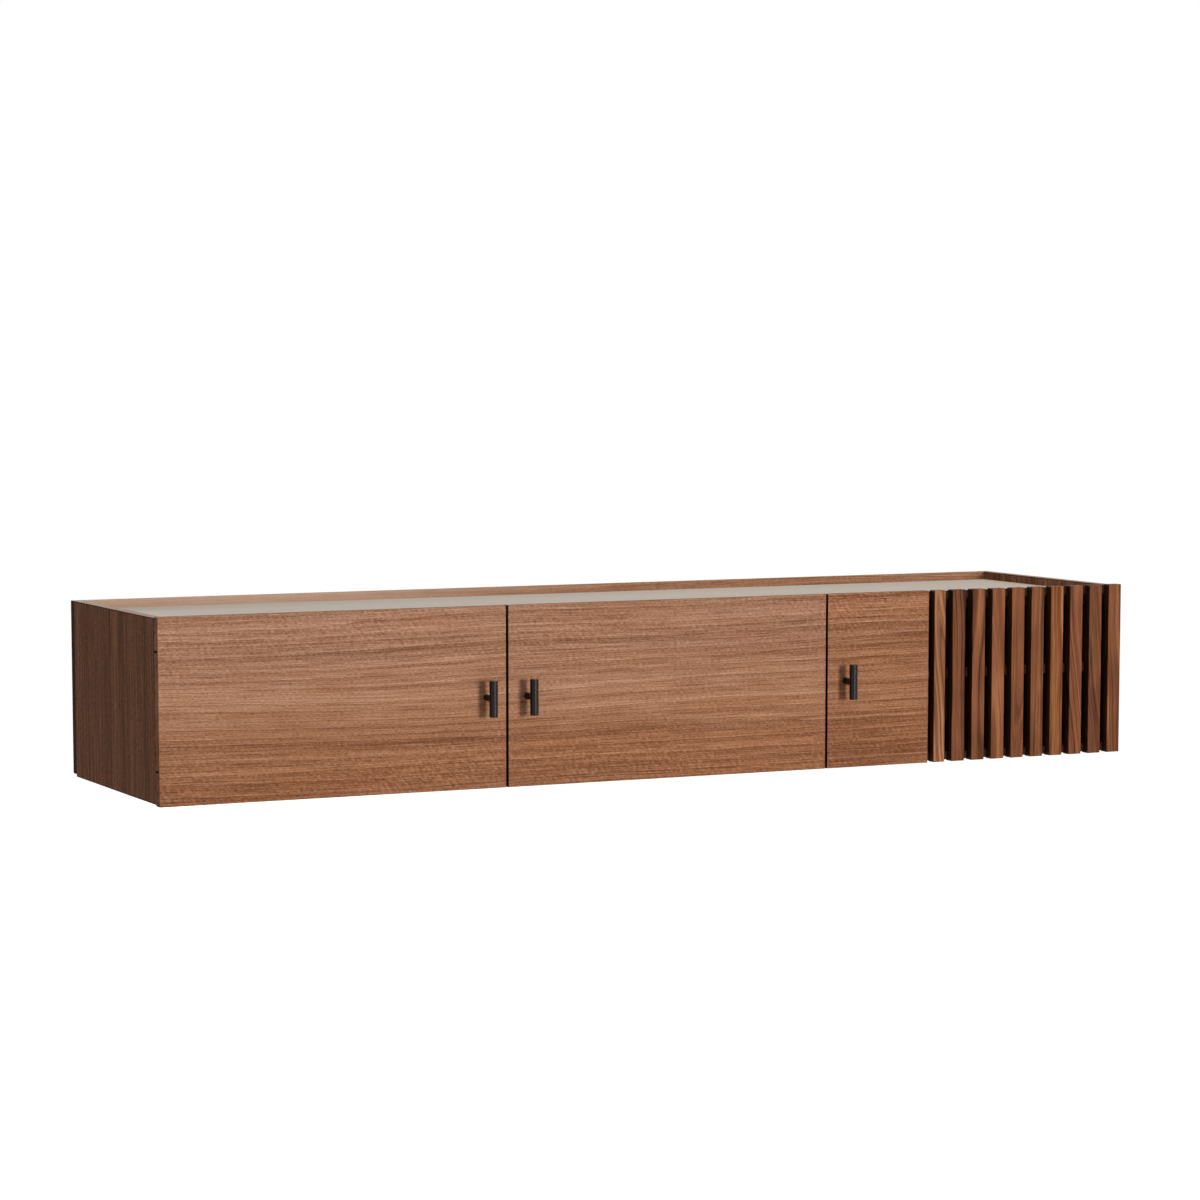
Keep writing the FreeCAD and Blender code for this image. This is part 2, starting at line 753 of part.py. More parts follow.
right_slots = hinge_slots(
    "right",
    at("half_width") - size("hinge_pin_inset"),
    "Places.half_width - Places.slot_reach",
)
slat_count = int(size("slat_count"))
rail_levels = (("lower", "Places.lower_rail"), ("upper", "Places.upper_rail"))

slat_screw_spots = []
slat_screw_xs = [at("leaf_right") - size("slat_screw_inset")]
slat_screw_xs.append(at("rail_left") + size("slat_screw_inset"))
for number in range(slat_count):
    slat_left = at("half_width") - size("slat_width") - number * at("slat_pitch")
    if number == slat_count - 1:
        slat_left = at("leaf_right") + size("leaf_gap")
    slat_screw_xs.append(slat_left + size("slat_screw_inset"))
for x in slat_screw_xs:
    for rail_z in (at("lower_rail"), at("upper_rail")):
        slat_screw_spots.append((x, at("door_back"), rail_z + size("rail_height") / 2, "-Y"))
slat_screw_sizes = (size("slat_screw_radius"), size("slat_screw_head_radius"))
slat_screw = screw_shape(*slat_screw_sizes, size("slat_screw_length"))
keep(copies("slat_screws", slat_screw, slat_screw_spots), "slat_screws")
slat_screw_hole = screw_shape(*slat_screw_sizes, size("slat_screw_length") + fit, fit)
slat_screw_holes = copies("slat_screw_holes", slat_screw_hole, slat_screw_spots)

rail_notches = []
for level, rail_z in rail_levels:
    rail_blank = block(
        "slat_rail_%s_blank" % level,
        ("Places.rail_length", "Sizes.rail_thickness", "Sizes.rail_height"),
        ("Places.rail_left", "Places.door_back - Sizes.rail_thickness", rail_z),
    )
    name = "slat_rail_" + level
    keep(cut(name, rail_blank, [slat_screw_holes]), name)
    rail_notches.append(
        block(
            "rail_notch_" + level,
            (
                "Places.rail_length + 2 * Sizes.rail_fit",
                "Sizes.rail_thickness + Sizes.rail_fit + 1",
                "Sizes.rail_height + 2 * Sizes.rail_fit",
            ),
            (
                "Places.rail_left - Sizes.rail_fit",
                "Places.door_back - Sizes.rail_thickness - Sizes.rail_fit",
                rail_z + " - Sizes.rail_fit",
            ),
        )
    )

leaf_blank = board(
    "door_right_leaf_blank",
    ("Sizes.leaf_width", "Sizes.door_thickness", door_height),
    ("Places.outer_door_edge", "Places.door_face", "Places.door_bottom"),
)
leaf_tools = rail_notches + [slat_screw_holes, right_handle_hole]
keep(cut("door_right_leaf", leaf_blank, leaf_tools), "door_right_leaf")

for number in range(slat_count):
    name = "slat_%02d" % (slat_count - number)
    slat_x = "Places.half_width - Sizes.slat_width - %d * Places.slat_pitch" % number
    slat_extent = "Sizes.slat_width"
    if number == slat_count - 1:
        slat_extent = "Sizes.first_slat_width"
        slat_x = "Places.first_slat_right - Sizes.first_slat_width"
    blank = board(
        name + "_blank",
        (slat_extent, "Sizes.door_thickness", door_height),
        (slat_x, "Places.door_face", "Places.door_bottom"),
    )
    tools = rail_notches + [slat_screw_holes]
    if number == 0:
        tools = tools + right_slots
    keep(cut(name, blank, tools), name)

# Magnetic catches under the deck, with a strike plate and two soft bumpers
# on the back of each door at its free edge.

free_edges = (
    ("left", "-Places.outer_door_edge", -1),
    ("middle", "-Places.middle_half", 1),
    ("right", "Places.outer_door_edge", 1),
)
catch_spots = []
for name, edge, inward in free_edges:
    middle_x = "%s + %d * Sizes.catch_inset" % (edge, inward)
    strike = block(
        "strike_plate_" + name,
        ("Sizes.strike_width", "Sizes.strike_thickness", "Places.strike_height"),
        (
            middle_x + " - Sizes.strike_width / 2",
            "Places.door_back",
            "Places.deck_under - Sizes.catch_height / 2 - Places.strike_height / 2",
        ),
    )
    keep(strike, "strike_plate_" + name)
    bumpers = []
    for level, hand in (("upper", 1), ("lower", -1)):
        bumpers.append(
            rod(
                "bumper_%s_%s" % (name, level),
                "Sizes.bumper_radius",
                "Sizes.bumper_thickness",
                (
                    "%s + %d * Sizes.bumper_inset" % (edge, inward),
                    "Places.door_back",
                    "%d * Places.bumper_z" % hand,
                ),
                "+Y",
            )
        )
    keep(fuse("bumpers_" + name, bumpers), "bumpers_" + name)
    doc.recompute()
    catch_spots.append(float(strike.Placement.Base.x) + size("strike_width") / 2)

catch_case = Part.makeBox(
    size("catch_width"),
    size("catch_depth"),
    size("catch_height"),
    Vector(-size("catch_width") / 2, 0, -size("catch_height")),
)
keep(
    copies(
        "magnetic_catches",
        catch_case,
        [(x, at("carcass_front"), at("deck_under"), "+Z") for x in catch_spots],
    ),
    "magnetic_catches",
)

doc.recompute()

# Nothing is written unless every object came out whole.

for item in doc.Objects:
    if "Invalid" in item.State or "Error" in item.State:
        raise RuntimeError("%s failed: %s" % (item.Label, item.State))
for item in nodes:
    if item.Shape.isNull() or not item.Shape.isValid():
        raise RuntimeError("%s has no valid shape" % item.Label)

os.makedirs("parts", exist_ok=True)
for item in nodes:
    item.Shape.exportStep("parts/%s.step" % item.Label)
print(len(nodes), "pieces written")
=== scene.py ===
import math

import bmesh
import bpy
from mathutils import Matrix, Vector


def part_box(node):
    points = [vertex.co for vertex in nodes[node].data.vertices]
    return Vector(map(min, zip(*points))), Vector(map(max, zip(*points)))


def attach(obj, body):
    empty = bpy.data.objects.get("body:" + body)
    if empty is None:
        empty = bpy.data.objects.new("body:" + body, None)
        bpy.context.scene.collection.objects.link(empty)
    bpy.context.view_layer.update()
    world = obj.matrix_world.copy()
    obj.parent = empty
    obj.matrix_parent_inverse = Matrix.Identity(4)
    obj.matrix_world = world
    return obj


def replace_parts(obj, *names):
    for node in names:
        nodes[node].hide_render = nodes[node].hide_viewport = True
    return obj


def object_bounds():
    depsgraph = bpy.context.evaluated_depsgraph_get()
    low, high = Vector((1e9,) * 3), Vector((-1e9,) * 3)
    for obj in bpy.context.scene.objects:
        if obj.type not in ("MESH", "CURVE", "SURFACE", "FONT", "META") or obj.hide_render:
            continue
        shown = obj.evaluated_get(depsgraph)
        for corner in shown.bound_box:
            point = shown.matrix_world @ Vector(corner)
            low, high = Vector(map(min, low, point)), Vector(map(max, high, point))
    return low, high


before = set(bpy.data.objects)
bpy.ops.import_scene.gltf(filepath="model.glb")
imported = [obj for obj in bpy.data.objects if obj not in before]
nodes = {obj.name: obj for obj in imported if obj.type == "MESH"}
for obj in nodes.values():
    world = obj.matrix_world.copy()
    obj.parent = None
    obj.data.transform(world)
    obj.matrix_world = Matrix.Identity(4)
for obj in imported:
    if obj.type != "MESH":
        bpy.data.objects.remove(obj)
cad_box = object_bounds()


# Doors
# The plain doors and the flat leaf of the slatted door are panels faced with
# one run of walnut veneer, whose grain runs on from door to door with a fine
# ripple across it. The edges that meet at the two gaps, and a thin rim of the
# fronts beside them, are painted near-black as painted shade in the gaps. The
# veneer is painted darker and warmer towards the bottom as painted shade, and a
# little lighter towards the left end as painted light.


class Number:
    """A number that varies over a surface, for use in plain arithmetic."""

    def __init__(self, tree, socket):
        self.tree = tree
        self.socket = socket

    def apply(self, operation, *others):
        values = dict(enumerate((self, *others)))
        return self.tree.number("ShaderNodeMath", {"operation": operation}, values)

    def __add__(self, other):
        return self.apply("ADD", other)

    def __sub__(self, other):
        return self.apply("SUBTRACT", other)

    def __mul__(self, other):
        return self.apply("MULTIPLY", other)

    def __pow__(self, other):
        return self.apply("POWER", other)

    def __rsub__(self, other):
        return (self * -1.0) + other

    __radd__ = __add__
    __rmul__ = __mul__

    def fitted(self, start, end):
        """0 up to the start, 1 from the end on, and smooth between, whichever is higher."""
        settings = {"interpolation_type": "SMOOTHSTEP"}
        values = {"Value": self, "From Min": start, "From Max": end}
        return self.tree.number("ShaderNodeMapRange", settings, values)


class Tree:
    """A node tree, filled one call at a time."""

    def __init__(self, tree):
        self.tree = tree
        self.tree.nodes.clear()

    def node(self, kind, settings, values):
        made = self.tree.nodes.new(kind)
        for name, setting in settings.items():
            if name == "stops":
                ramp = made.color_ramp
                while len(ramp.elements) < len(setting):
                    ramp.elements.new(0.5)
                for element, (position, colour) in zip(ramp.elements, setting):
                    element.position = position
                    element.color = (*colour, 1.0)
            else:
                setattr(made, name, setting)
        for name, value in values.items():
            if isinstance(name, int):
                socket = made.inputs[name]
            else:
                socket = [s for s in made.inputs if s.name == name and s.enabled][0]
            for given in value if isinstance(value, list) else [value]:
                if isinstance(given, Number):
                    given = given.socket
                if isinstance(given, bpy.types.NodeSocket):
                    self.tree.links.new(given, socket)
                else:
                    socket.default_value = given
        return made

    def socket(self, kind, settings, values, output=None):
        made = self.node(kind, settings, values)
        if output is None:
            return [s for s in made.outputs if s.enabled][0]
        return made.outputs[output]

    def number(self, kind, settings, values, output=None):
        return Number(self, self.socket(kind, settings, values, output))

    def split(self, place):
        made = self.node("ShaderNodeSeparateXYZ", {}, {0: place})
        return [Number(self, socket) for socket in made.outputs]

    def joined(self, x, y, z):
        return self.socket("ShaderNodeCombineXYZ", {}, {0: x, 1: y, 2: z})


class Finish(Tree):
    """A material, with the tools that the woods and metals share."""

    def __init__(self, name):
        self.material = bpy.data.materials.new(name)
        self.material.use_nodes = True
        super().__init__(self.material.node_tree)
        self.place = self.socket("ShaderNodeTexCoord", {}, {}, "Object")

    def facing(self):
        """How far the surface faces along each axis of the object."""
        return self.split(self.socket("ShaderNodeTexCoord", {}, {}, "Normal"))

    def stretched(self, place, scale, shift=(0.0, 0.0, 0.0)):
        values = {"Vector": place, "Scale": scale, "Location": shift}
        return self.socket("ShaderNodeMapping", {"vector_type": "POINT"}, values)

    def noise(self, place, detail=2.0, roughness=0.5):
        """Smooth noise about nought, mostly within half either way."""
        values = {"Vector": place, "Scale": 1.0, "Detail": detail, "Roughness": roughness}
        return (self.number("ShaderNodeTexNoise", {}, values, "Fac") - 0.5) * 2.0

    def ramp(self, tone, stops):
        return self.socket("ShaderNodeValToRGB", {"stops": stops}, {"Fac": tone})

    def blended(self, factor, first, second, how="MIX"):
        settings = {"data_type": "RGBA", "blend_type": how}
        return self.socket("ShaderNodeMix", settings, {"Factor": factor, "A": first, "B": second})

    def surface(self, values, height, depth):
        """The shader that the surface ends in, with a relief of the given depth in metres."""
        relief = {"Height": height, "Distance": depth, "Strength": 1.0}
        values = {**values, "Normal": self.socket("ShaderNodeBump", {}, relief)}
        shader = self.socket("ShaderNodeBsdfPrincipled", {}, values)
        self.node("ShaderNodeOutputMaterial", {}, {"Surface": shader})
        return self.material


def veneer(finish, place, wander=1.0, shift=0.0):
    """The tone and the pores of walnut veneer whose grain runs along the first axis.

    place gives metres along the grain, through the board and across the grain.
    """
    along, _, across = finish.split(place)
    sway = finish.noise(finish.stretched(place, (0.8, 0.0, 3.2), (shift, 0, 7.1)), 1.0)
    waver = finish.noise(finish.stretched(place, (2.6, 0.0, 16.0), (3.3, 0, shift)), 2.0)
    level = across + sway * 0.030 * wander + waver * 0.0030 * wander
    grain = finish.joined(along, shift, level)
    bands = finish.noise(finish.stretched(grain, (0.35, 1.0, 26.0)), 2.0, 0.5)
    streaks = finish.noise(finish.stretched(grain, (0.9, 1.0, 120.0), (5.0, 0, 0)), 3.0, 0.6)
    lines = finish.noise(finish.stretched(grain, (3.2, 1.0, 430.0), (9.0, 0, 0)), 2.0, 0.7)
    threads = finish.noise(finish.stretched(grain, (14.0, 1.0, 900.0), (2.0, 0, 0)), 1.0, 0.5)
    flecks = finish.noise(finish.stretched(grain, (170.0, 1.0, 640.0), (4.0, 0, 0)), 1.0)
    pores = finish.noise(finish.stretched(grain, (38.0, 1.0, 2600.0), (1.0, 0, 0)), 1.0)
    ring = (level * 58.0 + bands * 1.7 + streaks * 0.25).apply("FRACT")
    growth = (1.0 - ring) ** 9.0 * 0.15 - ring ** 3.0 * 0.11
    tone = 0.51 + bands * 0.21 + streaks * 0.20 + lines * 0.38 + threads * 0.38
    return tone + flecks * 0.38 + growth, pores.fitted(0.20, 0.52)


half_width = cad_box[1][0]
gap_place = 0.300

front = Finish("door veneer")
x, y, z = front.split(front.place)
tone, pores = veneer(front, front.joined(x, y, z + y))
ripple = front.noise(front.joined(x * 150.0 + z * 120.0, y * 20.0, z * 95.0 - x * 30.0), 2.0)
patch = front.noise(front.stretched(front.place, (5.0, 0.0, 9.0), (1.7, 0, 0.4)), 1.0)
outer = z.apply("ABSOLUTE").fitted(0.03, 0.12)
tone = tone + ripple * (outer * 0.26 + 0.10) * (patch + 0.7)
belt = 1.0 - (z - 0.020).apply("ABSOLUTE").fitted(0.0, 0.070)
leaf = x.fitted(gap_place, gap_place + 0.004)
# The tone is painted darker towards the bottom, as painted shade.
tone = tone + belt * 0.05 - (z * -1.0).fitted(0.02, 0.14) * 0.10 - leaf * 0.07
figure = front.noise(front.stretched(front.place, (1.6, 0.0, 52.0), (2.2, 0, 5.0)), 2.0)
# The tone is painted a little lighter towards the left end, as painted light.
tone = tone + (x * -1.0).fitted(0.0, half_width) * 0.02 + figure * leaf * 0.22
colour = front.ramp(tone, [
    (0.05, (0.110, 0.043, 0.022)),
    (0.28, (0.192, 0.083, 0.043)),
    (0.50, (0.302, 0.147, 0.084)),
    (0.70, (0.402, 0.218, 0.138)),
    (0.95, (0.520, 0.318, 0.222)),
])
# The veneer is multiplied darker and warmer towards the bottom, less on the leaf, as painted shade.
pale = z.fitted(-0.13, 0.10) * (1.0 - leaf * 0.8)
cast = front.ramp(pale, [(0.0, (0.975, 0.860, 0.735)), (1.0, (1.0, 1.0, 1.0))])
colour = front.blended(1.0, colour, cast, "MULTIPLY")
warm = front.noise(front.stretched(front.place, (4.0, 0.0, 30.0), (6.0, 0, 2.0)), 2.0)
colour = front.blended(warm.fitted(-0.5, 0.5) * 0.6, colour, (1.0, 0.93, 0.84, 1.0), "MULTIPLY")
colour = front.blended(pores * 0.40, colour, (0.100, 0.040, 0.020, 1.0))
reach = x.apply("ABSOLUTE")
end_face = front.facing()[0].apply("ABSOLUTE").fitted(0.90, 0.95)
outer_end = reach.fitted(half_width - 0.0015, half_width - 0.0005)
colour = front.blended(end_face * outer_end, colour, (0.90, 0.77, 0.63, 1.0), "MULTIPLY")
# The end faces at the two gaps and a thin rim of the fronts beside them are painted near-black, as
# painted shade in the gaps.
gap_rim_painted_shade = 1.0 - (reach - gap_place).apply("ABSOLUTE").fitted(0.0021, 0.0027)
gap_painted_shade = (end_face * (1.0 - outer_end)).apply("MAXIMUM", gap_rim_painted_shade)
colour = front.blended(gap_painted_shade * 0.97, colour, (0.007, 0.0035, 0.0022, 1.0))
door_veneer = front.surface(
    {"Base Color": colour, "Roughness": 0.62 - tone * 0.06 + pores * 0.12,
     "Specular IOR Level": 0.05},
    tone * 0.25 - pores, 0.00006)
for name in ("door_left_panel", "door_middle_panel", "door_right_leaf"):
    nodes[name].material_slots[0].material = door_veneer


# Side panels
# The ends of the cabinet are boards faced with walnut veneer, set with the
# grain upright, with a dark glue line along the upper and lower edges. Their
# inner faces below the deck are painted dark, as painted shade inside the
# cabinet.


def cavity_painted_shade(finish, tone):
    """The dark colour painted on the faces that look into the cabinet, as painted shade."""
    return finish.ramp(tone, [(0.2, (0.024, 0.014, 0.009)), (0.8, (0.058, 0.034, 0.022))])


side_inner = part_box("side_panel_right")[0][0]
side_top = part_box("side_panel_right")[1][2]
deck_low, deck_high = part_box("top_panel")
deck_middle = (deck_low[2] + deck_high[2]) / 2

side = Finish("side veneer")
x, y, z = side.split(side.place)
rim = side.facing()[2].apply("ABSOLUTE").fitted(0.90, 0.95)
along = z * (1.0 - rim) + y * rim
tone, pores = veneer(side, side.joined(along, x, y * (1.0 - rim) + x), 0.6, 4.2)
colour = side.ramp(tone, [
    (0.22, (0.106, 0.036, 0.0155)),
    (0.44, (0.197, 0.074, 0.0330)),
    (0.58, (0.280, 0.112, 0.0535)),
    (0.78, (0.415, 0.186, 0.0980)),
])
colour = side.blended(pores * 0.4, colour, (0.080, 0.032, 0.017, 1.0))
colour = side.blended(rim * 0.5, colour, (0.560, 0.420, 0.330, 1.0))
glue_line = z.apply("ABSOLUTE").fitted(side_top - 0.0022, side_top - 0.0014) * (1.0 - rim)
colour = side.blended(glue_line * 0.8, colour, (0.026, 0.012, 0.006, 1.0))
# The inner faces below the deck are painted dark, as painted shade inside the cabinet.
below_deck = 1.0 - z.fitted(deck_middle - 0.0015, deck_middle + 0.0015)
inside = 1.0 - x.apply("ABSOLUTE").fitted(side_inner + 0.0001, side_inner + 0.0003)
inside = inside * below_deck
colour = side.blended(inside, colour, cavity_painted_shade(side, tone))
side_veneer = side.surface(
    {"Base Color": colour, "Roughness": 0.66 - tone * 0.05 + inside * 0.1,
     "Specular IOR Level": 0.03},
    tone * 0.25 - pores, 0.00006)
for name in ("side_panel_left", "side_panel_right"):
    nodes[name].material_slots[0].material = side_veneer


# Deck and back board
# The recessed deck has a matt taupe lacquer over a faint grain. The back board,
# whose top edge stands up as the rear lip, is faced with walnut along the width
# and has dark ends. Both are painted dark inside the cabinet, the deck also on
# its front edge, as painted shade. The lip above the deck is painted paler
# towards the left end, as painted light.

back_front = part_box("back_board")[0][1]

deck = Finish("deck lacquer")
x, y, z = deck.split(deck.place)
tone, pores = veneer(deck, deck.joined(x, z, y + z), 0.8, 8.8)
peel = deck.noise(deck.stretched(deck.place, (260.0, 260.0, 260.0)), 2.0)
colour = deck.ramp(tone + peel * 0.1, [
    (0.10, (0.530, 0.455, 0.384)),
    (0.50, (0.560, 0.483, 0.409)),
    (0.90, (0.590, 0.511, 0.434)),
])
# All but the deck's top face is painted dark, as painted shade.
lacquer = y.fitted(deck_low[1] + 0.0004, deck_low[1] + 0.0007)
lacquer = lacquer * z.fitted(deck_high[2] - 0.0004, deck_high[2] - 0.0001)
colour = deck.blended(1.0 - lacquer, colour, cavity_painted_shade(deck, tone))
deck_lacquer = deck.surface(
    {"Base Color": colour, "Roughness": 0.62 + peel * 0.04 + pores * 0.02,
     "Specular IOR Level": 0.12},
    peel + tone * 0.3, 0.000006)
nodes["top_panel"].material_slots[0].material = deck_lacquer

back = Finish("back board")
x, y, z = back.split(back.place)
tone, pores = veneer(back, back.joined(x, y, z + y), 0.8, 2.8)
colour = back.ramp(tone, [
    (0.15, (0.205, 0.088, 0.044)),
    (0.45, (0.312, 0.153, 0.084)),
    (0.65, (0.392, 0.210, 0.124)),
    (0.90, (0.480, 0.280, 0.176)),
])
colour = back.blended(pores * 0.4, colour, (0.120, 0.055, 0.034, 1.0))
# The lip above the deck is painted paler towards the left end, as painted light.
lip_painted_light = (1.0 - x.fitted(-0.60, 0.20)) * z.fitted(deck_high[2] - 0.0020, deck_high[2] - 0.0010)
lip_painted_light = lip_painted_light * (1.0 - y.fitted(-0.0004, -0.0001))
colour = back.blended(lip_painted_light * 0.60, colour, (0.570, 0.410, 0.310, 1.0))
# The face inside the cabinet is painted dark, as painted shade.
below_deck = 1.0 - z.fitted(deck_middle - 0.0015, deck_middle + 0.0015)
inside = (1.0 - y.fitted(back_front + 0.0001, back_front + 0.0003)) * below_deck
colour = back.blended(inside, colour, cavity_painted_shade(back, tone))
ends = x.apply("ABSOLUTE").fitted(half_width - 0.0004, half_width - 0.0001)
colour = back.blended(ends, colour, (0.062, 0.021, 0.007, 1.0))
back_veneer = back.surface(
    {"Base Color": colour, "Roughness": 0.6 - tone * 0.05 + inside * 0.1,
     "Specular IOR Level": 0.01},
    tone * 0.25 - pores, 0.00006)
nodes["back_board"].material_slots[0].material = back_veneer


# Inside boards
# Floor, partitions and shelves are painted near-black under a matt lacquer, as
# painted shade inside the cabinet, so that little shows between the slats. The
# front edges of the shelves and the underside of the floor keep their walnut.

shelf_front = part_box("shelf_left")[0][1]
shelf_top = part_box("shelf_left")[1][2]
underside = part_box("bottom_panel")[0][2]

inner = Finish("stained inside")
x, y, z = inner.split(inner.place)
tone, pores = veneer(inner, inner.joined(x, z, y + z * 0.5), 0.5, 6.1)
# The near-black of these boards stands in for the shade inside the cabinet.
colour = inner.ramp(tone, [
    (0.2, (0.023, 0.013, 0.009)),
    (0.5, (0.040, 0.023, 0.016)),
    (0.8, (0.064, 0.038, 0.026)),
])
walnut = inner.ramp(tone, [
    (0.15, (0.095, 0.034, 0.015)),
    (0.50, (0.188, 0.074, 0.035)),
    (0.85, (0.290, 0.128, 0.066)),
])
lipping = 1.0 - z.apply("ABSOLUTE").fitted(shelf_top + 0.0001, shelf_top + 0.0005)
lipping = lipping * y.fitted(shelf_front + 0.0010, shelf_front + 0.0005)
lipping = lipping * (1.0 - y.fitted(shelf_front - 0.0005, shelf_front - 0.0010))
bare = 1.0 - z.fitted(underside + 0.0005, underside + 0.0006)
bare = bare.apply("MAXIMUM", lipping * 0.25)
painted_shade_inside = inner.surface(
    {"Base Color": inner.blended(bare, colour, walnut), "Roughness": 0.62 + pores * 0.1,
     "Specular IOR Level": 0.02},
    tone * 0.2 - pores, 0.00005)
for name in ("bottom_panel", "partition_left", "partition_right",
             "shelf_left", "shelf_middle", "shelf_right"):
    nodes[name].material_slots[0].material = painted_shade_inside


# Slats
# Ten sticks of oiled solid walnut stand side by side on two rails. Each is
# sawn from another plank, so tone and figure change from stick to stick, and
# the sides that face each other are painted darker than the fronts, as painted
# shade between the slats.


def solid_walnut(name, centre, tone_shift, pith, lean, warmth, seed):
    """Oiled walnut cut from a log, whose pith line runs at a distance from the stick's middle.

    lean is the slope of the pith line, and warmth gives the green and blue of the cast.
    """
    wood = Finish(name)
    x, y, z = wood.split(wood.place)
    spot = wood.stretched(wood.place, (1.0, 1.0, 1.0), (seed * 3.7, seed * 1.9, seed * 5.3))
    sway = wood.noise(wood.stretched(spot, (14.0, 14.0, 5.5)), 1.0)
    curl = wood.noise(wood.stretched(spot, (60.0, 60.0, 26.0)), 2.0)
    across = x - centre[0] - pith[0] + z * lean + sway * 0.009 + curl * 0.0012
    through = y - centre[1] - pith[1] + z * lean * 0.6 + sway * 0.004
    reach = (across * across + through * through).apply("SQRT")
    rings = wood.noise(wood.joined(reach * 170.0, seed, z * 1.2), 2.0, 0.55)
    late = wood.noise(wood.joined(reach * 430.0, seed + 4.0, z * 2.5), 2.0, 0.6)
    dark = wood.noise(wood.joined(reach * 95.0, seed + 8.0, z * 3.0), 1.0).fitted(0.22, 0.48)
    fibres = wood.noise(wood.stretched(spot, (700.0, 700.0, 16.0)), 2.0, 0.6)
    pores = wood.noise(wood.stretched(spot, (1900.0, 1900.0, 42.0)), 1.0).fitted(0.18, 0.50)
    clouds = wood.noise(wood.stretched(spot, (24.0, 24.0, 9.0)), 2.0)
    tone = 0.52 + tone_shift + rings * 0.58 + late * 0.32 + fibres * 0.24 + clouds * 0.24
    tone = tone - dark * 0.22
    colour = wood.ramp(tone, [
        (0.05, (0.036, 0.011, 0.0055)),
        (0.30, (0.110, 0.036, 0.0140)),
        (0.52, (0.205, 0.070, 0.0275)),
        (0.75, (0.315, 0.120, 0.0500)),
        (0.98, (0.440, 0.200, 0.1000)),
    ])
    colour = wood.blended(pores * 0.40, colour, (0.040, 0.014, 0.007, 1.0))
    colour = wood.blended(1.0, colour, (1.0, *warmth, 1.0), "MULTIPLY")
    # The sides that face the next slat are painted near-black, as painted shade between the slats.
    between = wood.facing()[0].apply("ABSOLUTE").fitted(0.90, 0.95)
    between = between * (1.0 - x.fitted(half_width - 0.0010, half_width - 0.0004))
    colour = wood.blended(between * 0.72, colour, (0.010, 0.004, 0.002, 1.0))
    return wood.surface(
        {"Base Color": colour, "Roughness": 0.60 - tone * 0.08 + pores * 0.1,
         "Specular IOR Level": 0.07},
        tone * 0.3 - pores, 0.00008)


# tone shift, pith line, lean and warmth of each stick
STICKS = {
    "slat_01": (0.09, (0.010, -0.012), 0.10, (1.08, 1.10)),
    "slat_02": (-0.18, (-0.060, -0.040), 0.02, (1.02, 1.00)),
    "slat_03": (-0.11, (0.020, -0.020), -0.08, (1.00, 1.00)),
    "slat_04": (-0.07, (-0.012, -0.030), 0.05, (0.98, 0.98)),
    "slat_05": (-0.01, (0.006, -0.025), -0.06, (1.00, 1.00)),
    "slat_06": (-0.04, (-0.070, -0.060), 0.00, (1.04, 1.00)),
    "slat_07": (0.05, (-0.040, -0.050), 0.01, (1.00, 0.84)),
    "slat_08": (-0.08, (0.050, -0.030), 0.16, (1.00, 1.02)),
    "slat_09": (-0.14, (0.060, -0.030), 0.14, (1.04, 1.10)),
    "slat_10": (-0.07, (-0.080, -0.040), 0.03, (1.00, 0.99)),
}
for number, (name, (tone_shift, pith, lean, warmth)) in enumerate(STICKS.items()):
    low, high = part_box(name)
    centre = [(a + b) / 2 for a, b in zip(low, high)]
    wood = solid_walnut(name + " walnut", centre, tone_shift, pith, lean, warmth,
                        1.3 + number * 2.1)
    nodes[name].material_slots[0].material = wood


# Slat rails
# Two thin walnut laths, stained dark and let into the backs of the leaf and
# the slats, tie them together. Their grain runs along the width.

rail = Finish("rail walnut")
tone, pores = veneer(rail, rail.place, 0.7, 1.6)
colour = rail.ramp(tone, [
    (0.2, (0.013, 0.0055, 0.0030)),
    (0.5, (0.022, 0.0090, 0.0048)),
    (0.8, (0.035, 0.0155, 0.0085)),
])
colour = rail.blended(pores * 0.4, colour, (0.008, 0.0035, 0.0020, 1.0))
rail_walnut = rail.surface(
    {"Base Color": colour, "Roughness": 0.58 + pores * 0.1, "Specular IOR Level": 0.06},
    tone * 0.3 - pores, 0.00006)
for name in ("slat_rail_lower", "slat_rail_upper"):
    nodes[name].material_slots[0].material = rail_walnut


# Handles
# Each is a steel bar on a short stem, with a satin dark bronze coat that is
# lighter along the rims of the bar's ends.

bar_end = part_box("handle_bar_left")[1][2]

bronze = Finish("dark bronze")
height = bronze.split(bronze.place)[2]
mottle = bronze.noise(bronze.stretched(bronze.place, (420.0, 420.0, 420.0)), 3.0, 0.6)
brushed = bronze.noise(bronze.stretched(bronze.place, (2600.0, 2600.0, 90.0)), 2.0)
rim = height.apply("ABSOLUTE").fitted(bar_end - 0.0008, bar_end - 0.0001)
colour = bronze.ramp(0.5 + mottle * 0.5, [
    (0.2, (0.0065, 0.0038, 0.0024)),
    (0.8, (0.0120, 0.0075, 0.0048)),
])
colour = bronze.blended(rim * (0.30 + mottle * 0.3), colour, (0.070, 0.052, 0.036, 1.0))
dark_bronze = bronze.surface(
    {"Base Color": colour, "Roughness": 0.22 + mottle * 0.04 + brushed * 0.03,
     "Specular IOR Level": 0.24},
    brushed + mottle, 0.000008)
for name, item in nodes.items():
    if name.startswith(("handle_bar_", "handle_stem_", "hinge_")):
        item.material_slots[0].material = dark_bronze


# Steel fittings
# Wall plates, strike plates, cams and shelf pins are steel with a thin bright
# zinc coat. The hinge plates and pins share the dark coat of the handles.

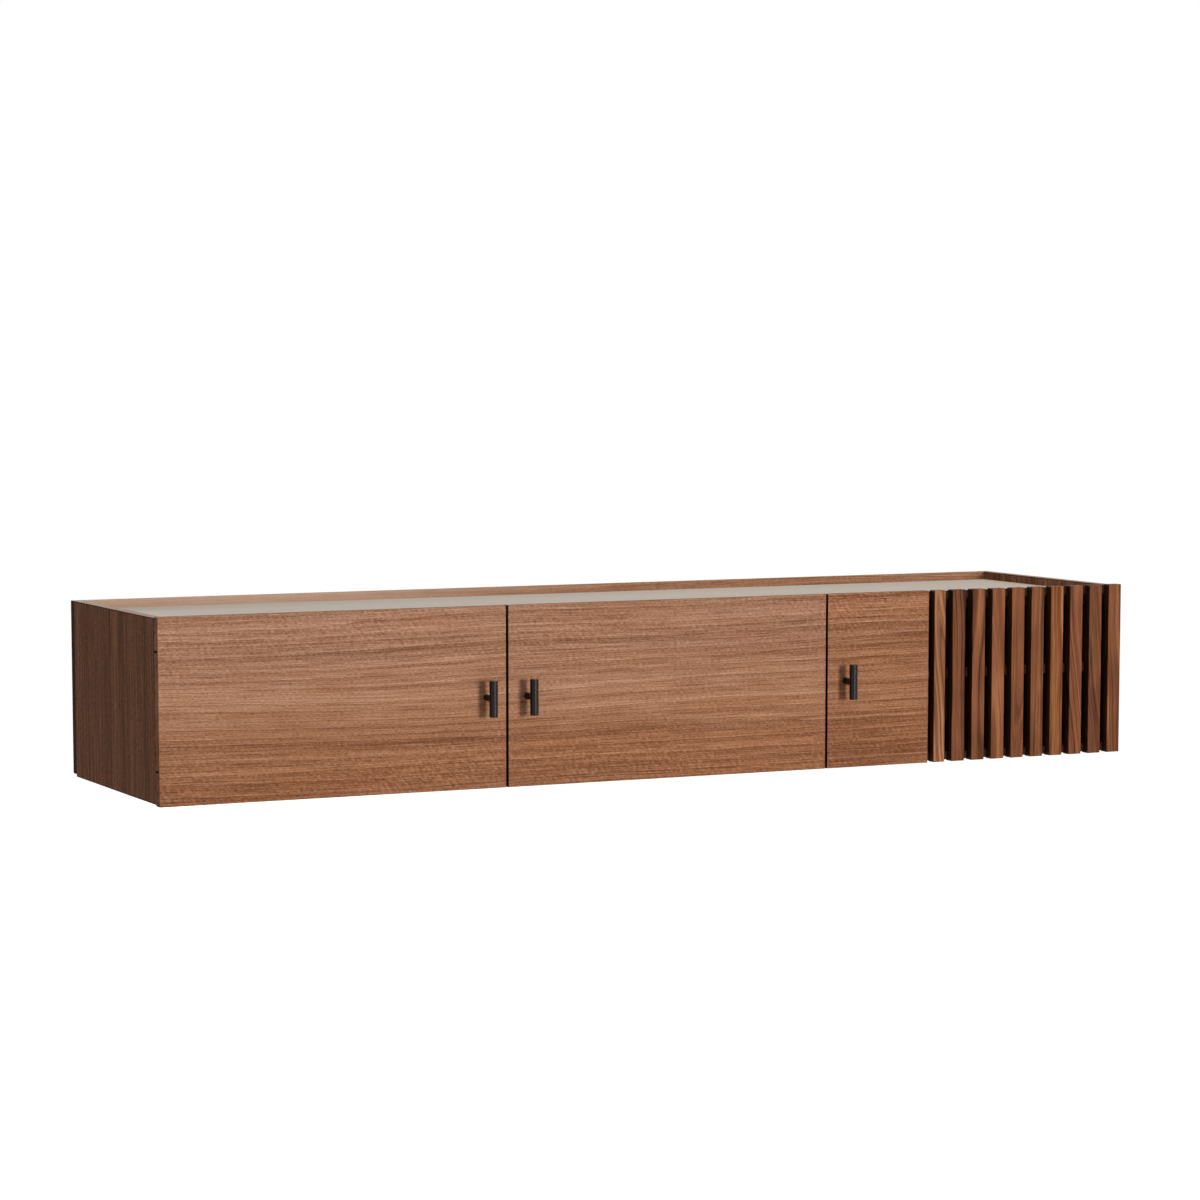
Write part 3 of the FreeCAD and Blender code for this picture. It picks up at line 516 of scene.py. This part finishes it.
zinc = Finish("zinc plate")
cloud = zinc.noise(zinc.stretched(zinc.place, (260.0, 260.0, 260.0)), 3.0, 0.6)
scratch = zinc.noise(zinc.stretched(zinc.place, (120.0, 900.0, 3200.0)), 2.0)
colour = zinc.ramp(0.5 + cloud * 0.5, [
    (0.2, (0.42, 0.42, 0.43)),
    (0.8, (0.62, 0.61, 0.60)),
])
zinc_plate = zinc.surface(
    {"Base Color": colour, "Metallic": 1.0, "Roughness": 0.34 + cloud * 0.08 + scratch * 0.05},
    scratch * 0.6 + cloud, 0.00001)
for name, item in nodes.items():
    if name.startswith(("wall_plates", "strike_", "cam_", "shelf_pins")):
        item.material_slots[0].material = zinc_plate


# Screws
# Cross-head screws hold the back board, the hinge plates, the wall plates, the
# slats and the handles. All but the handle screws are countersunk.

screw_pattern = bpy.data.node_groups.new("cross-head screw", "GeometryNodeTree")
for label, kind in (("Spots", "Geometry"), ("Face Radius", "Float"), ("Root Radius", "Float"),
                    ("Head Depth", "Float"), ("Shank Radius", "Float"), ("Length", "Float"),
                    ("Heading", "Vector"), ("Metal", "Material")):
    screw_pattern.interface.new_socket(label, in_out="INPUT", socket_type="NodeSocket" + kind)
screw_pattern.interface.new_socket("Screws", in_out="OUTPUT", socket_type="NodeSocketGeometry")
turning = Tree(screw_pattern)
given = turning.node("NodeGroupInput", {}, {}).outputs
face = Number(turning, given["Face Radius"])
depth = Number(turning, given["Head Depth"])
length = Number(turning, given["Length"])
head = turning.socket("GeometryNodeMeshCone", {}, {
    "Vertices": 32, "Radius Top": given["Root Radius"], "Radius Bottom": face, "Depth": depth})
slot_length = face * 1.25
slot_width = face * 0.26
for along, across in ((slot_length, slot_width), (slot_width, slot_length)):
    cutter = turning.socket("GeometryNodeMeshCube", {}, {
        "Size": turning.joined(along, across, depth * 1.1)})
    head = turning.socket("GeometryNodeMeshBoolean", {"operation": "DIFFERENCE", "solver": "EXACT"},
                          {"Mesh 1": head, "Mesh 2": cutter})
shank = turning.socket("GeometryNodeMeshCylinder", {}, {
    "Vertices": 16, "Radius": given["Shank Radius"], "Depth": length - depth})
shank = turning.socket("GeometryNodeTransform", {}, {
    "Geometry": shank, "Translation": turning.joined(0.0, 0.0, (length + depth) * 0.5)})
screw = turning.socket("GeometryNodeJoinGeometry", {}, {"Geometry": [head, shank]})
row = turning.socket("GeometryNodeInstanceOnPoints", {}, {
    "Points": given["Spots"], "Instance": screw, "Rotation": given["Heading"]})
row = turning.socket("GeometryNodeRealizeInstances", {}, {"Geometry": row})
row = turning.socket("GeometryNodeSetMaterial", {}, {"Geometry": row, "Material": given["Metal"]})
turning.node("NodeGroupOutput", {}, {"Screws": row})

INTO_WALL = (math.radians(-90.0), 0.0, 0.0)
TO_FRONT = (math.radians(90.0), 0.0, 0.0)
UPWARD = (0.0, 0.0, 0.0)
WOOD_SCREW = {"Face Radius": 0.0035, "Root Radius": 0.00175, "Head Depth": 0.00175,
              "Shank Radius": 0.00175}
SLAT_SCREW = {"Face Radius": 0.0024, "Root Radius": 0.0013, "Head Depth": 0.0011,
              "Shank Radius": 0.0013}
HANDLE_SCREW = {"Face Radius": 0.0033, "Root Radius": 0.0040, "Head Depth": 0.0016,
                "Shank Radius": 0.0020}


def screws(name, body, spots, heading, size, length):
    """One screw at each spot, which is the middle of its head's face."""
    marks = bpy.data.meshes.new(name + " spots")
    marks.from_pydata(spots, [], [])
    piece = bpy.data.objects.new(name, marks)
    bpy.context.scene.collection.objects.link(piece)
    pattern = piece.modifiers.new("pattern", "NODES")
    pattern.node_group = screw_pattern
    settings = {**size, "Length": length, "Heading": heading, "Metal": zinc_plate}
    for item in screw_pattern.interface.items_tree:
        if item.name in settings:
            pattern[item.identifier] = settings[item.name]
    depsgraph = bpy.context.evaluated_depsgraph_get()
    made = bpy.data.meshes.new_from_object(piece.evaluated_get(depsgraph), depsgraph=depsgraph)
    piece.modifiers.clear()
    piece.data = made
    bpy.data.meshes.remove(marks)
    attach(piece, body)
    return piece


def middle(name, axis):
    """The place of the middle of a solid piece along one axis."""
    low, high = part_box(name)
    return (low[axis] + high[axis]) / 2


uprights = [middle(name, 0) for name in ("side_panel_left", "partition_left",
                                         "partition_right", "side_panel_right")]
upright_levels = (-0.05333, 0.05333)
bay_columns = (-0.598, 0.0, 0.598)
boards = [middle(name, 2) for name in ("bottom_panel", "top_panel")]
spots = [(x, 0.0, z) for x in uprights for z in upright_levels]
spots += [(x, 0.0, z) for x in bay_columns for z in boards]
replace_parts(screws("back_screw_row", "carcass", spots, TO_FRONT, WOOD_SCREW, 0.045), "back_screws")

hinge_columns = (-0.891, 0.2987, 0.891)
hinge_levels = (-0.095, 0.095)
hinge_steps = (-0.011, 0.011)
carcass_front = deck_low[1]
spots = [(x, carcass_front, level + step) for x in hinge_columns
         for level in hinge_levels for step in hinge_steps]
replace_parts(screws("hinge_screw_row", "carcass", spots, INTO_WALL, WOOD_SCREW, 0.020),
            "hinge_screws")

wall_columns = (-0.6096, 0.6096)
wall_levels = (-0.080, 0.080)
wall_steps = (-0.023, 0.023)
plate_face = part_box("wall_plates")[0][1]
spots = [(x + step, plate_face, z) for x in wall_columns for z in wall_levels
         for step in wall_steps]
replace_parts(screws("wall_plate_screw_row", "carcass", spots, INTO_WALL, WOOD_SCREW, 0.015),
            "wall_plate_screws")

leaf_columns = [0.4815, 0.4935]
slat_inset = 0.009
slat_columns = [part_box(name)[0][0] + slat_inset for name in STICKS]
rail_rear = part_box("slat_rail_lower")[1][1]
rail_levels = [middle(name, 2) for name in ("slat_rail_lower", "slat_rail_upper")]
spots = [(x, rail_rear, z) for x in leaf_columns + slat_columns for z in rail_levels]
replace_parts(screws("slat_screw_row", "door_right", spots, TO_FRONT, SLAT_SCREW, 0.014),
            "slat_screws")

for door in ("left", "middle", "right"):
    low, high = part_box("handle_screw_" + door)
    spot = (middle("handle_screw_" + door, 0), high[1], middle("handle_screw_" + door, 2))
    piece = screws("handle_pan_screw_" + door, "door_" + door, [spot], TO_FRONT, HANDLE_SCREW,
                   high[1] - low[1])
    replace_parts(piece, "handle_screw_" + door)


# Magnetic catches
# Under the front of the deck a brown moulded case holds a magnet between two
# steel pole plates, and is screwed on through an ear at each end.

case = Finish("catch case")
grit = case.noise(case.stretched(case.place, (1400.0, 1400.0, 1400.0)), 2.0)
colour = case.ramp(0.5 + grit * 0.5, [(0.2, (0.030, 0.018, 0.012)), (0.8, (0.042, 0.026, 0.018))])
moulded_case = case.surface({"Base Color": colour, "Roughness": 0.55 + grit * 0.08}, grit, 0.00002)


def blocks(name, body, boxes, ease, finish):
    """Rectangular blocks with rounded edges, each from its lowest to its highest corner."""
    shape = bmesh.new()
    for low, high in boxes:
        corners = bmesh.ops.create_cube(shape, size=1.0)["verts"]
        for corner in corners:
            corner.co = [a + (b - a) * (c + 0.5) for a, b, c in zip(low, high, corner.co)]
        rims = list({rim for corner in corners for rim in corner.link_edges})
        bmesh.ops.bevel(shape, geom=rims, offset=ease, segments=2, profile=0.5, affect="EDGES")
    mesh = bpy.data.meshes.new(name)
    shape.to_mesh(mesh)
    shape.free()
    mesh.materials.append(finish)
    piece = bpy.data.objects.new(name, mesh)
    bpy.context.scene.collection.objects.link(piece)
    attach(piece, body)
    return piece


# each block's lowest and highest corner, with its width counted from the catch
CATCHES = (-0.362, -0.239, 0.362)
CASE = ((-0.0125, -0.4292, 0.1040), (0.0125, -0.4160, 0.1158))
EARS = ((-0.0200, -0.4280, 0.1110), (0.0200, -0.4175, 0.1160))
LOWER_POLE = ((-0.0105, -0.4300, 0.1068), (0.0105, -0.4200, 0.1080))
UPPER_POLE = ((-0.0105, -0.4300, 0.1118), (0.0105, -0.4200, 0.1130))
EAR_SCREW_PLACES = ((-0.0163, -0.4230, 0.1096), (0.0163, -0.4230, 0.1096))
EAR_SCREW = {"Face Radius": 0.0022, "Root Radius": 0.0028, "Head Depth": 0.0014,
             "Shank Radius": 0.0014}


def at_each_catch(place):
    """The same place on each of the three catches."""
    return [(x + place[0], place[1], place[2]) for x in CATCHES]


cases = []
for low, high in (CASE, EARS):
    cases += zip(at_each_catch(low), at_each_catch(high))
poles = []
for low, high in (LOWER_POLE, UPPER_POLE):
    poles += zip(at_each_catch(low), at_each_catch(high))
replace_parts(blocks("catch_cases", "carcass", cases, 0.0006, moulded_case), "magnetic_catches")
blocks("catch_poles", "carcass", poles, 0.0002, zinc_plate)
spots = [spot for place in EAR_SCREW_PLACES for spot in at_each_catch(place)]
screws("catch_screws", "carcass", spots, UPWARD, EAR_SCREW, 0.0160)


# Bumpers and dowels
# The doors close on drops of clear grey gel, and the partitions stand on beech
# dowels.

gel = Finish("bumper gel")
haze = gel.noise(gel.stretched(gel.place, (700.0, 700.0, 700.0)), 2.0)
colour = gel.ramp(0.5 + haze * 0.5, [(0.2, (0.55, 0.55, 0.53)), (0.8, (0.72, 0.72, 0.70))])
bumper_gel = gel.surface({"Base Color": colour, "Roughness": 0.22 + haze * 0.05}, haze, 0.00001)
for door in ("left", "middle", "right"):
    nodes["bumpers_" + door].material_slots[0].material = bumper_gel

beech = Finish("beech")
flecks = beech.noise(beech.stretched(beech.place, (700.0, 700.0, 90.0)), 3.0)
colour = beech.ramp(0.5 + flecks * 0.5, [(0.2, (0.46, 0.30, 0.17)), (0.8, (0.60, 0.43, 0.27))])
raw_beech = beech.surface({"Base Color": colour, "Roughness": 0.7 + flecks * 0.05}, flecks, 0.00005)
nodes["dowels"].material_slots[0].material = raw_beech


# Studio
# A pale floor well below the cabinet, a large soft lamp in front of the doors
# and to their right, weaker ones above and behind, and a world that shows white.

floor_level = -1.15
floor_half_width = 14.0
floor_mesh = bpy.data.meshes.new("floor")
shape = bmesh.new()
bmesh.ops.create_grid(shape, x_segments=1, y_segments=1, size=floor_half_width)
bmesh.ops.translate(shape, verts=shape.verts, vec=(0.0, 0.0, floor_level))
shape.to_mesh(floor_mesh)
shape.free()
floor = bpy.data.objects.new("floor", floor_mesh)
bpy.context.scene.collection.objects.link(floor)

paint = Finish("floor paint")
path = paint.node("ShaderNodeLightPath", {}, {})
seen = Number(paint, path.outputs["Is Camera Ray"])
seen = seen.apply("MAXIMUM", Number(paint, path.outputs["Is Glossy Ray"]))
seen = seen.apply("MAXIMUM", Number(paint, path.outputs["Is Transmission Ray"]))
matt = paint.socket("ShaderNodeBsdfDiffuse", {}, {"Color": (0.80, 0.80, 0.80, 1.0)})
glow = paint.socket("ShaderNodeEmission", {},
                    {"Color": (1.0, 1.0, 1.0, 1.0), "Strength": seen * 0.85})
both = paint.socket("ShaderNodeAddShader", {}, {0: matt, 1: glow})
paint.node("ShaderNodeOutputMaterial", {}, {"Surface": both})
floor_mesh.materials.append(paint.material)

world = bpy.data.worlds.new("studio")
bpy.context.scene.world = world
world.use_nodes = True
sky = Tree(world.node_tree)
path = sky.node("ShaderNodeLightPath", {}, {})
glossy = Number(sky, path.outputs["Is Glossy Ray"])
plainly = Number(sky, path.outputs["Is Camera Ray"])
plainly = plainly.apply("MAXIMUM", Number(sky, path.outputs["Is Transmission Ray"]))
way = sky.socket("ShaderNodeTexCoord", {}, {}, "Generated")
behind_cabinet = (0.43, 0.90, 0.08)
nearness = sky.number("ShaderNodeVectorMath", {"operation": "DOT_PRODUCT"},
                      {0: way, 1: behind_cabinet}, "Value")
white = plainly.apply("MAXIMUM", glossy * nearness.fitted(0.60, 0.90))
sheet = sky.socket("ShaderNodeBackground", {},
                   {"Color": (1.0, 1.0, 1.0, 1.0), "Strength": 0.18 + white * 0.82})
sky.node("ShaderNodeOutputWorld", {}, {"Surface": sheet})


def lamp(name, place, target, width, height, power):
    """A soft rectangular lamp that faces its target, in metres and watts."""
    light = bpy.data.lights.new(name, "AREA")
    light.shape = "RECTANGLE"
    light.size = width
    light.size_y = height
    light.energy = power
    item = bpy.data.objects.new(name, light)
    item.location = place
    item.rotation_euler = (Vector(target) - Vector(place)).to_track_quat("-Z", "Y").to_euler()
    bpy.context.scene.collection.objects.link(item)


lamp("key", (2.7, -11.5, 1.2), (0.0, -0.45, 0.0), 2.5, 2.6, 985.0)
lamp("top", (0.6, -0.6, 3.2), (0.1, -0.2, 0.0), 3.0, 2.0, 68.0)
lamp("rear", (0.0, 7.0, 0.9), (0.0, 0.0, 0.0), 2.6, 1.6, 160.0)


# Camera
# It stands left of the doors and a little above them, with a long lens, and
# is shifted up a little to leave the cabinet near the middle of the frame.

dip = math.radians(6.02)
turn = math.radians(25.72)
lens = bpy.data.cameras.new("camera")
lens.sensor_width = 36.0
lens.lens = 106.84
lens.shift_y = 0.1
lens.clip_end = 100.0
camera = bpy.data.objects.new("camera", lens)
camera.location = (-2.688, -5.758, 0.575)
camera.rotation_euler = (math.radians(90.0) - dip, 0.0, -turn)
bpy.context.scene.collection.objects.link(camera)
bpy.context.scene.camera = camera
bpy.context.scene.view_settings.view_transform = "Standard"
